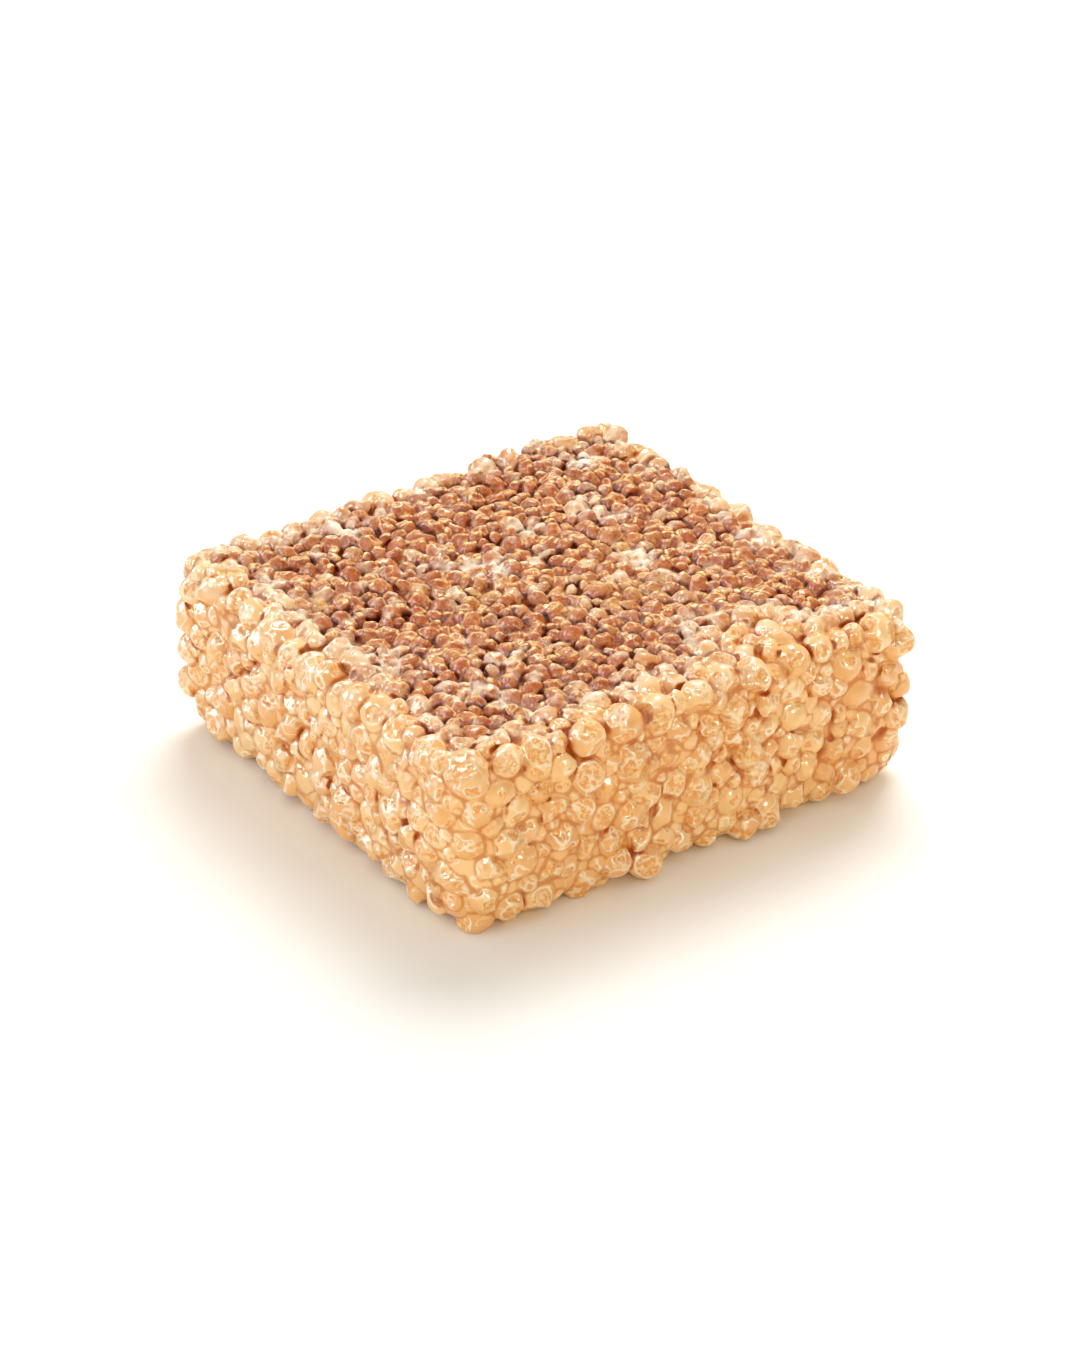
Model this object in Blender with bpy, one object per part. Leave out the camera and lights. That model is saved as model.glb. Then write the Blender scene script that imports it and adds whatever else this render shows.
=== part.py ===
"""A square protein puff bar: a pressed block of puffed crisps held together by a pale syrup coat, with
a finer brown cinnamon crumb over its top.

The bar is one fused solid. A plain rounded core stands for the sticky inside. The crisps that show are
balls of true size, sunk into the core and joined to it: large ones first, then smaller ones in the gaps.
The origin is at the middle of the underside, +Z is up, and the two walls in view face -X and -Y.
"""

import math

import bmesh
import bpy
import numpy as np
from mathutils import Matrix, Vector

MM = 0.001

# Driving sizes of the pressed block, measured over its puffs
LENGTH = 73.0 * MM
DEPTH = 70.0 * MM
HEIGHT = 26.0 * MM
TOP_EDGE = 3.0 * MM
BOTTOM_EDGE = 3.5 * MM
BOTTOM_TAPER = 0.02

# Upright edges, as radius and side in X and Y: the nearest one is the most worn
UPRIGHT_EDGES = (
    (4.5 * MM, 1, -1),
    (3.0 * MM, 1, 1),
    (4.5 * MM, -1, 1),
    (7.0 * MM, -1, -1),
)

# The syrup core lies this far under the puffs' outer surface, and further in at its foot
CORE_INSET = 2.4 * MM
FOOT_INSET = 3.2 * MM
CORE_CORNER = 1.2 * MM
CORE_CORNER_POINTS = 5
# Everything is built this much too deep and then cut flat, as the tray pressed it
PRESSED_AWAY = 1.2 * MM

# Kinds of puff on the walls and round the rim: most of them, smallest and largest radius, spacing
LARGE_PUFFS = (90, 2.5 * MM, 3.1 * MM, 0.86)
FOOT_PUFFS = (60, 1.8 * MM, 2.5 * MM, 0.80)
MIDDLE_PUFFS = (230, 1.9 * MM, 2.5 * MM, 0.80)
# Cinnamon crumbs on the top
CRUMBS = (240, 1.5 * MM, 2.0 * MM, 0.85)
CRUMB_MARGIN = 6.0 * MM

# Puffs that stand out on the front wall: place along X, height and radius, in millimetres
FRONT_LANDMARKS = (
    (-24.0, 23.4, 2.8),
    (-16.5, 23.8, 2.4),
    (-10.0, 18.5, 2.9),
    (-5.5, 23.2, 2.6),
    (0.5, 23.8, 2.4),
    (6.0, 20.0, 2.5),
    (11.5, 19.5, 2.1),
    (16.0, 23.8, 2.4),
    (8.5, 13.5, 2.5),
    (-17.5, 14.5, 2.4),
    (25.0, 3.6, 2.4),
    (-12.0, 4.0, 2.4),
    (33.5, 21.0, 2.4),
    (33.2, 10.5, 2.1),
)
# Puffs that stand out on the left wall: place along Y, height and radius
LEFT_LANDMARKS = (
    (31.0, 21.5, 2.5),
    (25.5, 23.6, 2.4),
    (9.5, 23.7, 2.3),
    (-9.0, 23.5, 2.5),
    (-25.0, 23.4, 2.6),
    (-18.0, 11.5, 2.5),
    (-7.0, 7.5, 2.5),
)
# Clumps that hang out at the foot of the front wall
FOOT_CLUMPS = (
    (12.0, 2.9, 2.9),
    (8.4, 2.3, 2.3),
    (-7.6, 2.5, 2.5),
)

# A puff's middle lies this many of its radii under the bar's outer surface
SHALLOWEST = 0.82
DEEPEST = 1.12
# A puff is squashed to between these shares of its width
NARROWEST = 0.92
WIDEST = 1.1
# A ball of few flat faces is this much wider, to be as large as the round puff that it stands for
FACETED_WIDTH = 1.08
BALL_DETAIL = 1

# The fused shell is thinned to about this many triangles before it is pressed flat
FACE_BUDGET = 11500

SEED = 11
ROUNDS = 60
TRIES_A_ROUND = 500
SURFACE_COLOUR = (0.86, 0.55, 0.27, 1.0)
SURFACE_ROUGHNESS = 0.38


def outline_runs():
    """For each side of the outline, from the front wall on: the straight run before its far corner,
    that corner's radius, its centre, and the way the side faces."""
    runs = []
    for i, (radius, side_x, side_y) in enumerate(UPRIGHT_EDGES):
        run = (LENGTH, DEPTH)[i % 2] - radius - UPRIGHT_EDGES[i - 1][0]
        centre = (side_x * (LENGTH / 2 - radius), side_y * (DEPTH / 2 - radius))
        runs.append((run, radius, centre, math.radians(90 * i - 90)))
    return runs


def outline_length():
    """The length of the bar's outline, seen from above."""
    return sum(run + radius * math.pi / 2 for run, radius, _, _ in outline_runs())


def outline_points(distance):
    """The points at these distances along the outline, seen from above, and their outward directions:
    straight runs joined by quarter circles."""
    left = distance.copy()
    places = np.zeros((len(distance), 2))
    outward = np.zeros((len(distance), 2))
    for run, radius, centre, facing in outline_runs():
        here = (left >= 0) & (left <= run + radius * math.pi / 2)
        turn = facing + np.maximum(left - run, 0) / radius
        out = np.stack((np.cos(turn), np.sin(turn)), axis=1)
        along = np.stack((-out[:, 1], out[:, 0]), axis=1)
        place = centre + out * radius - along * np.maximum(run - left, 0)[:, None]
        places[here], outward[here] = place[here], out[here]
        left = left - run - radius * math.pi / 2
    return places, outward


def profile_length():
    """The length of the wall's profile: the bottom edge's arc, the upright run and the top edge's arc."""
    return (BOTTOM_EDGE + TOP_EDGE) * math.pi / 2 + HEIGHT - BOTTOM_EDGE - TOP_EDGE


def profile_points(climb):
    """How far in and how high the wall's profile is after these climbs along it from its foot, and the
    angle that it faces above the level: a quarter circle, an upright run and a quarter circle."""
    upright = HEIGHT - BOTTOM_EDGE - TOP_EDGE
    past_foot = climb - BOTTOM_EDGE * math.pi / 2
    foot_turn = np.clip(climb / BOTTOM_EDGE, 0, math.pi / 2)
    rim_turn = np.clip((past_foot - upright) / TOP_EDGE, 0, math.pi / 2)
    inset = BOTTOM_EDGE * (1 - np.sin(foot_turn)) + TOP_EDGE * (1 - np.cos(rim_turn))
    height = BOTTOM_EDGE * (1 - np.cos(foot_turn)) + np.clip(past_foot, 0, upright)
    height = height + TOP_EDGE * np.sin(rim_turn)
    return inset, height, foot_turn - math.pi / 2 + rim_turn


def wall_points(distance, climb):
    """Points on the bar's outer surface and the directions that they face."""
    base, out = outline_points(distance)
    inset, height, lift = profile_points(climb)
    narrow = 1 - BOTTOM_TAPER * (1 - height / HEIGHT)
    flat = (base - out * inset[:, None]) * narrow[:, None]
    outward = np.column_stack((out * np.cos(lift)[:, None], np.sin(lift)))
    return np.column_stack((flat, height)), outward


def draw_on_wall(rng):
    """Random places on the walls or their rounded edges."""
    distance = rng.uniform(0, outline_length(), TRIES_A_ROUND)
    return wall_points(distance, rng.uniform(0, profile_length(), TRIES_A_ROUND))


def draw_on_foot(rng):
    """Random places on the rounded edge round the underside."""
    distance = rng.uniform(0, outline_length(), TRIES_A_ROUND)
    return wall_points(distance, rng.uniform(0, BOTTOM_EDGE * math.pi / 2, TRIES_A_ROUND))


def draw_on_top(rng):
    """Random places on the top face, inside the rim of pale puffs."""
    half = np.array((LENGTH, DEPTH)) / 2 - CRUMB_MARGIN
    flat = rng.uniform(-half, half, (TRIES_A_ROUND, 2))
    places = np.column_stack((flat, np.full(TRIES_A_ROUND, HEIGHT)))
    return places, np.tile((0.0, 0.0, 1.0), (TRIES_A_ROUND, 1))


def stand_out():
    """The landmark puffs and clumps, each a centre and a radius: sunk into their wall by just under
    their radius."""
    puffs = []
    for x, z, radius in FRONT_LANDMARKS + FOOT_CLUMPS:
        puffs.append((np.array((x, radius * SHALLOWEST - DEPTH / 2 / MM, z)) * MM, radius * MM))
    for y, z, radius in LEFT_LANDMARKS:
        puffs.append((np.array((radius * SHALLOWEST - LENGTH / 2 / MM, y, z)) * MM, radius * MM))
    return puffs


def scatter(kind, draw_places, puffs, seed):
    """Adds one kind of puff to the list. A try is kept where its centre is further from every other
    centre than the spacing times the sum of their radii."""
    most, smallest, largest, spacing = kind
    rng = np.random.default_rng((SEED, seed))
    wanted = len(puffs) + most
    for _ in range(ROUNDS):
        radii = rng.uniform(smallest, largest, TRIES_A_ROUND)
        places, outward = draw_places(rng)
        sunk = radii * rng.uniform(SHALLOWEST, DEEPEST, TRIES_A_ROUND)
        for centre, radius in zip(places - outward * sunk[:, None], radii):
            centres = np.array([puff[0] for puff in puffs])
            reach = np.array([puff[1] for puff in puffs]) + radius
            if len(puffs) < wanted and (np.linalg.norm(centres - centre, axis=1) > spacing * reach).all():
                puffs.append((centre, radius))


def make_ball(name, centre, radius, rng):
    """One puff: a ball of few faces, turned and squashed at random as puffed crisps are."""
    mesh = bpy.data.meshes.new(name)
    shape = bmesh.new()
    bmesh.ops.create_icosphere(shape, subdivisions=BALL_DETAIL, radius=radius * FACETED_WIDTH)
    axis = Vector(rng.normal(size=3)).normalized()
    turn = Matrix.Rotation(rng.uniform(0, 2 * math.pi), 4, axis)
    squash = Matrix.Diagonal((rng.uniform(NARROWEST, WIDEST), rng.uniform(NARROWEST, WIDEST), 1.0, 1.0))
    bmesh.ops.transform(shape, matrix=Matrix.Translation(centre) @ squash @ turn, verts=shape.verts)
    shape.to_mesh(mesh)
    shape.free()
    return bpy.data.objects.new(name, mesh)


def core_ring(shape, height, inset):
    """One outline of the core: the bar's own outline, drawn in by the inset."""
    ring = []
    for corner, (edge, side_x, side_y) in zip((3, 0, 1, 2), UPRIGHT_EDGES):
        radius = max(edge - inset, CORE_CORNER)
        centre_x = side_x * (LENGTH / 2 - inset - radius)
        centre_y = side_y * (DEPTH / 2 - inset - radius)
        for step in range(CORE_CORNER_POINTS):
            turn = math.pi / 2 * (corner + step / (CORE_CORNER_POINTS - 1))
            x = centre_x + radius * math.cos(turn)
            y = centre_y + radius * math.sin(turn)
            ring.append(shape.verts.new((x, y, height)))
    return ring


def make_core():
    """The sticky inside: a rounded block, built from outlines laid one over the other."""
    shape = bmesh.new()
    rings = (
        core_ring(shape, -PRESSED_AWAY, CORE_INSET + FOOT_INSET),
        core_ring(shape, FOOT_INSET, CORE_INSET),
        core_ring(shape, HEIGHT - CORE_INSET - TOP_EDGE / 2, CORE_INSET),
        core_ring(shape, HEIGHT - CORE_INSET, CORE_INSET + TOP_EDGE / 2),
    )
    for lower, upper in zip(rings, rings[1:]):
        for i in range(len(lower)):
            j = (i + 1) % len(lower)
            shape.faces.new((lower[i], lower[j], upper[j], upper[i]))
    shape.faces.new(rings[-1])
    shape.faces.new(list(reversed(rings[0])))
    mesh = bpy.data.meshes.new("puff_bar")
    shape.to_mesh(mesh)
    shape.free()
    return bpy.data.objects.new("puff_bar", mesh)


def apply_modifier(target, modifier_type, **settings):
    """Adds one modifier to the target, applies it to the mesh, and removes it again."""
    modifier = target.modifiers.new(modifier_type.lower(), modifier_type)
    for key, value in settings.items():
        setattr(modifier, key, value)
    bpy.context.view_layer.update()
    evaluated = target.evaluated_get(bpy.context.evaluated_depsgraph_get())
    joined = bpy.data.meshes.new_from_object(evaluated)
    target.modifiers.remove(modifier)
    target.data = joined


def fuse(core, balls):
    """Joins the balls to the core in one Boolean union, and removes the separate balls."""
    crowd = bpy.data.collections.new("puffs")
    bpy.context.scene.collection.children.link(crowd)
    for ball in balls:
        crowd.objects.link(ball)
    apply_modifier(
        core, "BOOLEAN", operation="UNION", solver="MANIFOLD", operand_type="COLLECTION", collection=crowd
    )
    for ball in balls:
        bpy.data.objects.remove(ball)
    bpy.data.collections.remove(crowd)


def thin_out(bar):
    """Merges the slivers that the union leaves along its seams, down to the face budget."""
    shape = bmesh.new()
    shape.from_mesh(bar.data)
    bmesh.ops.triangulate(shape, faces=shape.faces)
    count = len(shape.faces)
    shape.to_mesh(bar.data)
    shape.free()
    apply_modifier(bar, "DECIMATE", ratio=min(1.0, FACE_BUDGET / count))


def press_flat(bar):
    """Cuts off what lies under the floor, so that the bar rests on pressed, flat puffs."""
    shape = bmesh.new()
    bmesh.ops.create_cube(shape, size=1.0)
    size = Vector((2 * LENGTH, 2 * DEPTH, 10 * PRESSED_AWAY))
    place = Matrix.Translation((0, 0, -size.z / 2))
    bmesh.ops.transform(shape, matrix=place @ Matrix.Diagonal((*size, 1.0)), verts=shape.verts)
    mesh = bpy.data.meshes.new("tray")
    shape.to_mesh(mesh)
    shape.free()
    tray = bpy.data.objects.new("tray", mesh)
    bpy.context.scene.collection.objects.link(tray)
    apply_modifier(bar, "BOOLEAN", operation="DIFFERENCE", solver="MANIFOLD", object=tray)
    bpy.data.objects.remove(tray)


def keep_outer_shell(bar):
    """Fills sealed hollows and drops loose scraps: only the largest connected shell stays.
    Then makes triangles, and centres the bar over the origin."""
    shape = bmesh.new()
    shape.from_mesh(bar.data)
    bmesh.ops.triangulate(shape, faces=shape.faces)
    unseen = set(shape.faces)
    shells = []
    while unseen:
        shell = [unseen.pop()]
        for face in shell:
            for edge in face.edges:
                for other in edge.link_faces:
                    if other in unseen:
                        unseen.remove(other)
                        shell.append(other)
        shells.append(shell)
    shells.sort(key=len)
    scraps = [face for shell in shells[:-1] for face in shell]
    bmesh.ops.delete(shape, geom=scraps, context="FACES")
    places = np.array([vert.co for vert in shape.verts])
    middle = (places.max(axis=0) + places.min(axis=0)) / 2
    bmesh.ops.translate(shape, verts=shape.verts, vec=(-middle[0], -middle[1], 0.0))
    shape.to_mesh(bar.data)
    shape.free()


def make_material():
    """The syrup-coated crisp: a warm peach with a soft gloss."""
    material = bpy.data.materials.new("syrup_coated_puffs")
    material.use_nodes = True
    shader = material.node_tree.nodes["Principled BSDF"]
    shader.inputs["Base Color"].default_value = SURFACE_COLOUR
    shader.inputs["Roughness"].default_value = SURFACE_ROUGHNESS
    shader.inputs["Metallic"].default_value = 0.0
    return material


def main():
    for old in list(bpy.data.objects):
        bpy.data.objects.remove(old)
    puffs = stand_out()
    kinds = (LARGE_PUFFS, FOOT_PUFFS, MIDDLE_PUFFS, CRUMBS)
    draws = (draw_on_wall, draw_on_foot, draw_on_wall, draw_on_top)
    for seed, (kind, draw_places) in enumerate(zip(kinds, draws)):
        scatter(kind, draw_places, puffs, seed)
        print(f"{len(puffs)} puffs so far")
    rng = np.random.default_rng(SEED)
    bar = make_core()
    bpy.context.scene.collection.objects.link(bar)
    balls = [make_ball(f"puff_{i:03d}", *puff, rng) for i, puff in enumerate(puffs)]
    fuse(bar, balls)
    thin_out(bar)
    press_flat(bar)
    keep_outer_shell(bar)
    bar.data.name = "puff_bar"
    bar.data.materials.clear()
    bar.data.materials.append(make_material())
    print(f"{len(puffs)} puffs and crumbs, {len(bar.data.polygons)} triangles")


main()
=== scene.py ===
# %% [markdown]
# # A protein puff bar, grown from one distance field
#
# The real bar is pressed from puffed crisps of 3 to 6 mm, glued by a pale syrup that has set to a soft
# gloss. Where two crisps touch, the syrup pulls into a small web between them, and where a bubble in a
# crisp has burst, it leaves a flat oval patch with a thin raised rim. A finer brown cinnamon crumb lies
# over the middle of the top.
#
# Separate balls pushed into each other would meet in hard lines, with no web. So the whole crust is one
# formula: for each point in space, how far it is from the nearest crisps, blended softly. The surface is
# where that distance is nought. Everything below works in millimetres until the meshes are made.

import math

import bpy
import numpy as np
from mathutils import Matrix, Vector


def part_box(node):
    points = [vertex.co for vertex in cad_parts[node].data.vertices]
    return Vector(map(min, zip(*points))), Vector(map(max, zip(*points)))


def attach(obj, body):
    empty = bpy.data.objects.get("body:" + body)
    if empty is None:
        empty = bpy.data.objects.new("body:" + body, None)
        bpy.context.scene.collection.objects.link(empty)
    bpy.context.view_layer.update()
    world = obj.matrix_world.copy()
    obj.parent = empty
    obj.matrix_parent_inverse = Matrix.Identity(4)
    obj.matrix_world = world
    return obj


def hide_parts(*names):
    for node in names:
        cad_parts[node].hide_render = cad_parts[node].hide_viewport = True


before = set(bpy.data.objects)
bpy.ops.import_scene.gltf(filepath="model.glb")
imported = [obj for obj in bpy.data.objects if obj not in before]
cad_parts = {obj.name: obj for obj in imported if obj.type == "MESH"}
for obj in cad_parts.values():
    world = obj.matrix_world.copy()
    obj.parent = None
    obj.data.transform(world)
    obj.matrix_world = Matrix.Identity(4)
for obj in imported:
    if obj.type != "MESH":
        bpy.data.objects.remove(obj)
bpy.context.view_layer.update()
NODE = "puff_bar"
MM = 0.001
low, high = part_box(NODE)
print("packed solid, mm:", [round(side / MM, 1) for side in high - low])

# %% [markdown]
# ## The pressed block
#
# The block's own sizes are measured over its crisps. The solid in the frame was built from the same
# values, with balls of few flat faces that stand about half a millimetre further out.

# %% Driving sizes in millimetres
LENGTH = 73.0
DEPTH = 70.0
HEIGHT = 26.0
TOP_EDGE = 3.0
BOTTOM_EDGE = 3.5
BOTTOM_TAPER = 0.02

# Upright edges, as radius and side in X and Y: the nearest one is the most worn
UPRIGHT_EDGES = ((4.5, 1, -1), (3.0, 1, 1), (4.5, -1, 1), (7.0, -1, -1))

SEED = 11
print(f"block {LENGTH:.0f} x {DEPTH:.0f} x {HEIGHT:.0f} mm")


# %% Walk round the outline
def outline_runs():
    """For each side of the outline, from the front wall on: the straight run before its far corner,
    that corner's radius, its centre, and the way the side faces."""
    runs = []
    for i, (edge, side_x, side_y) in enumerate(UPRIGHT_EDGES):
        run = (LENGTH, DEPTH)[i % 2] - edge - UPRIGHT_EDGES[i - 1][0]
        centre = (side_x * (LENGTH / 2 - edge), side_y * (DEPTH / 2 - edge))
        runs.append((run, edge, centre, math.radians(90 * i - 90)))
    return runs


OUTLINE = outline_runs()
AROUND = sum(run + edge * math.pi / 2 for run, edge, _, _ in OUTLINE)
UP_THE_WALL = (BOTTOM_EDGE + TOP_EDGE) * math.pi / 2 + HEIGHT - BOTTOM_EDGE - TOP_EDGE
print(f"outline {AROUND:.1f} mm round, wall {UP_THE_WALL:.1f} mm from the foot to the top")


# %% Points along the outline
def outline_points(distance):
    """The points at these distances along the outline, seen from above, and their outward directions:
    straight runs joined by quarter circles."""
    left = distance.copy()
    places = np.zeros((len(distance), 2))
    outward = np.zeros((len(distance), 2))
    for run, edge, centre, facing in OUTLINE:
        here = (left >= 0) & (left <= run + edge * math.pi / 2)
        turn = facing + np.maximum(left - run, 0) / edge
        out = np.stack((np.cos(turn), np.sin(turn)), axis=1)
        along = np.stack((-out[:, 1], out[:, 0]), axis=1)
        place = centre + out * edge - along * np.maximum(run - left, 0)[:, None]
        places[here], outward[here] = place[here], out[here]
        left = left - run - edge * math.pi / 2
    return places, outward


# %% Points up the wall
def profile_points(climb):
    """How far in and how high the wall's profile is after these climbs along it from its foot, and the
    angle that it faces above the level: a quarter circle, an upright run and a quarter circle."""
    upright = HEIGHT - BOTTOM_EDGE - TOP_EDGE
    past_foot = climb - BOTTOM_EDGE * math.pi / 2
    foot_turn = np.clip(climb / BOTTOM_EDGE, 0, math.pi / 2)
    rim_turn = np.clip((past_foot - upright) / TOP_EDGE, 0, math.pi / 2)
    inset = BOTTOM_EDGE * (1 - np.sin(foot_turn)) + TOP_EDGE * (1 - np.cos(rim_turn))
    height = BOTTOM_EDGE * (1 - np.cos(foot_turn)) + np.clip(past_foot, 0, upright)
    height = height + TOP_EDGE * np.sin(rim_turn)
    return inset, height, foot_turn - math.pi / 2 + rim_turn


def wall_points(distance, climb):
    """Points on the block's outer surface and the directions that they face."""
    base, out = outline_points(distance)
    inset, height, lift = profile_points(climb)
    narrow = 1 - BOTTOM_TAPER * (1 - height / HEIGHT)
    flat = (base - out * inset[:, None]) * narrow[:, None]
    outward = np.column_stack((out * np.cos(lift)[:, None], np.sin(lift)))
    return np.column_stack((flat, height)), outward


foot, _ = wall_points(np.zeros(1), np.zeros(1))
print("the walk starts on the tray at X, Y, Z:", foot[0].round(1))

# %% [markdown]
# ## Where the cinnamon lies
#
# The brown crumb covers the top but for a pale border, with a wavy edge, a pale bay at the front and a
# brown tongue that reaches the back edge. A margin in millimetres, positive inside, says all of that: it
# decides which crisps are laid where, and later how brown each one is.

# %% Soft noise
NOISE_SIDE = 32
noise_lattice = np.random.default_rng(5).uniform(-1, 1, (NOISE_SIDE,) * 3).astype(np.float32)


def soft_noise(points, size, shift=0):
    """Noise between -1 and 1: random numbers on a cubic lattice of the given size, blended between the
    eight lattice points round each place, with the weight 3t² - 2t³ along each axis."""
    scaled = np.asarray(points) / size + 9.37 * (shift + 1)
    corner = np.floor(scaled).astype(int)
    share = scaled - corner
    share = share * share * (3 - 2 * share)
    total = np.zeros(len(scaled))
    for step in np.ndindex(2, 2, 2):
        weight = np.prod(np.where(step, share, 1 - share), axis=1)
        i, j, k = ((corner + step) % NOISE_SIDE).T
        total += weight * noise_lattice[i, j, k]
    return total


print(f"noise from {noise_lattice.size} random numbers")

# %% The crumb's margin
# The crumb's four edges, and their waves: how far, how long, and how deep into the crumb
CRUMB_LEFT, CRUMB_RIGHT = -30.5, 32.5
CRUMB_FRONT, CRUMB_BACK = -28.0, 31.0
EDGE_WAVE = 2.2
EDGE_WAVE_SIZE = 5.0
EDGE_WAVE_DEPTH = 8.0
# Pale bay at the front and brown tongue at the back: middle and half-sizes in X and Y
PALE_BAY = (15.0, -28.0, 7.5, 7.5)
BACK_TONGUE = (19.0, 30.0, 8.0, 4.5)


def oval(x, y, middle_x, middle_y, half_x, half_y):
    """Roughly how far inside an oval a place is, in millimetres: positive inside."""
    return (1 - np.hypot((x - middle_x) / half_x, (y - middle_y) / half_y)) * min(half_x, half_y)


def crumb_margin(x, y):
    """How far inside the brown crumb a place on the top is: the least distance to four straight edges,
    waved by noise, less the bay and with the tongue added."""
    places = np.stack((x.ravel(), y.ravel(), 0 * x.ravel()), axis=1)
    margin = np.minimum.reduce((x - CRUMB_LEFT, CRUMB_RIGHT - x, y - CRUMB_FRONT, CRUMB_BACK - y))
    wave = EDGE_WAVE * soft_noise(places, EDGE_WAVE_SIZE).reshape(x.shape)
    margin = margin + wave * np.clip(1 - margin / EDGE_WAVE_DEPTH, 0, 1)
    margin = np.minimum(margin, -oval(x, y, *PALE_BAY))
    return np.maximum(margin, oval(x, y, *BACK_TONGUE))


top_x, top_y = np.mgrid[-LENGTH / 2:LENGTH / 2:50j, -DEPTH / 2:DEPTH / 2:50j]
print(f"cinnamon over {100 * (crumb_margin(top_x, top_y) > 0).mean():.0f}% of the top")

# %% [markdown]
# ## Scattering the crisps
#
# Crisps are laid largest first: each try draws a size, a place and a depth, and is kept where it doesn't
# crowd what is there. The ones that stand out in the photograph are listed one by one. They and the large,
# foot and middle kinds repeat the solid's own draws, so that the crust keeps its form. The small ones
# then fill what is left between them.

# %% Crisps that stand out
# On the front wall: place along X, height and radius
FRONT_LANDMARKS = (
    (-24.0, 23.4, 2.8),
    (-16.5, 23.8, 2.4),
    (-10.0, 18.5, 2.9),
    (-5.5, 23.2, 2.6),
    (0.5, 23.8, 2.4),
    (6.0, 20.0, 2.5),
    (11.5, 19.5, 2.1),
    (16.0, 23.8, 2.4),
    (8.5, 13.5, 2.5),
    (-17.5, 14.5, 2.4),
    (25.0, 3.6, 2.4),
    (-12.0, 4.0, 2.4),
    (33.5, 21.0, 2.4),
    (33.2, 10.5, 2.1),
)
# On the left wall: place along Y, height and radius
LEFT_LANDMARKS = (
    (31.0, 21.5, 2.5),
    (25.5, 23.6, 2.4),
    (9.5, 23.7, 2.3),
    (-9.0, 23.5, 2.5),
    (-25.0, 23.4, 2.6),
    (-18.0, 11.5, 2.5),
    (-7.0, 7.5, 2.5),
)
# Clumps that hang out at the foot of the front wall
FOOT_CLUMPS = ((12.0, 2.9, 2.9), (8.4, 2.3, 2.3), (-7.6, 2.5, 2.5))
# Swollen crisps on the upright edges at the far left and right, laid last: place along X and Y, height
# and radius
EDGE_LUMPS = (
    (-31.9, 32.4, 22.5, 2.9),
    (-34.2, 32.1, 16.8, 2.7),
    (-34.3, 31.9, 11.6, 2.6),
    (-34.1, 32.0, 6.6, 2.5),
    (34.1, -31.9, 13.8, 2.4),
)

print(len(FRONT_LANDMARKS), "on the front wall,", len(LEFT_LANDMARKS), "on the left wall")

# %% Lay the ones that stand out
# A crisp's middle lies this many of its radii under the block's outer surface
SHALLOWEST = 0.82
DEEPEST = 1.12

heap = {"centre": np.zeros((0, 3)), "radius": np.zeros(0), "crumb": np.zeros(0)}


def lay(places, radii, crumb=0.0):
    """Adds crisps to the heap."""
    heap["centre"] = np.concatenate((heap["centre"], places))
    heap["radius"] = np.concatenate((heap["radius"], radii))
    heap["crumb"] = np.concatenate((heap["crumb"], np.full(len(radii), crumb)))


for x, z, size in FRONT_LANDMARKS + FOOT_CLUMPS:
    lay([(x, size * SHALLOWEST - DEPTH / 2, z)], [size])
for y, z, size in LEFT_LANDMARKS:
    lay([(size * SHALLOWEST - LENGTH / 2, y, z)], [size])
print(len(heap["radius"]), "crisps laid by hand")

# %% The kinds of crisp
TRIES_A_ROUND = 500
ROUNDS = 60

# Most of them, smallest and largest radius, spacing
LARGE_PUFFS = (90, 2.5, 3.1, 0.86)
FOOT_PUFFS = (60, 1.8, 2.5, 0.80)
MIDDLE_PUFFS = (230, 1.9, 2.5, 0.80)
SMALL_PUFFS = (370, 1.5, 2.1, 0.71)
TINY_PUFFS = (80, 0.9, 1.3, 0.76)
BORDER_PUFFS = (190, 1.4, 2.3, 0.76)
TOP_ISLANDS = (26, 1.4, 2.0, 0.90)
LARGE_CRUMBS = (420, 1.5, 2.1, 0.77)
SMALL_CRUMBS = (350, 0.95, 1.4, 0.70)
UNDER_PUFFS = (430, 1.5, 2.5, 0.76)


# %% Try places and keep those with room
def scatter(name, kind, draw_places, seed, crumb=0.0):
    """Lays one kind of crisp, where a new one's middle is further from every other middle than the
    spacing times the sum of their radii. Tries that crowd the heap go at once, as one array, and the
    rest are taken in turn."""
    most, smallest, largest, spacing = kind
    rng = np.random.default_rng((SEED, seed))
    first = len(heap["radius"])
    for _ in range(ROUNDS):
        radii = rng.uniform(smallest, largest, TRIES_A_ROUND)
        places, outward = draw_places(rng)
        middles = places - outward * (radii * rng.uniform(SHALLOWEST, DEEPEST, TRIES_A_ROUND))[:, None]
        apart = np.linalg.norm(middles[:, None] - heap["centre"], axis=2)
        free = (apart > spacing * (radii[:, None] + heap["radius"])).all(axis=1)
        taken = []
        for i in np.flatnonzero(free):
            gaps = np.linalg.norm(middles[taken] - middles[i], axis=1)
            room = len(heap["radius"]) - first + len(taken) < most
            if room and (gaps > spacing * (radii[taken] + radii[i])).all():
                taken.append(i)
        lay(middles[taken], radii[taken], crumb)
    print(f"{name}: {len(heap['radius']) - first} of {most}")


# %% Draw places on the walls
def draw_on_wall(rng):
    """Random places on the walls or their rounded edges."""
    distance = rng.uniform(0, AROUND, TRIES_A_ROUND)
    return wall_points(distance, rng.uniform(0, UP_THE_WALL, TRIES_A_ROUND))


def draw_on_foot(rng):
    """Random places on the rounded edge round the underside."""
    distance = rng.uniform(0, AROUND, TRIES_A_ROUND)
    return wall_points(distance, rng.uniform(0, BOTTOM_EDGE * math.pi / 2, TRIES_A_ROUND))


# Small and tiny crisps sit in the gaps, this far under the block's surface
SMALL_DEPTH = 0.35
TINY_DEPTH = 0.6


def draw_in_wall(rng, depth):
    """Random places a little under the walls' surface."""
    places, outward = draw_on_wall(rng)
    return places - depth * outward, outward


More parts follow.
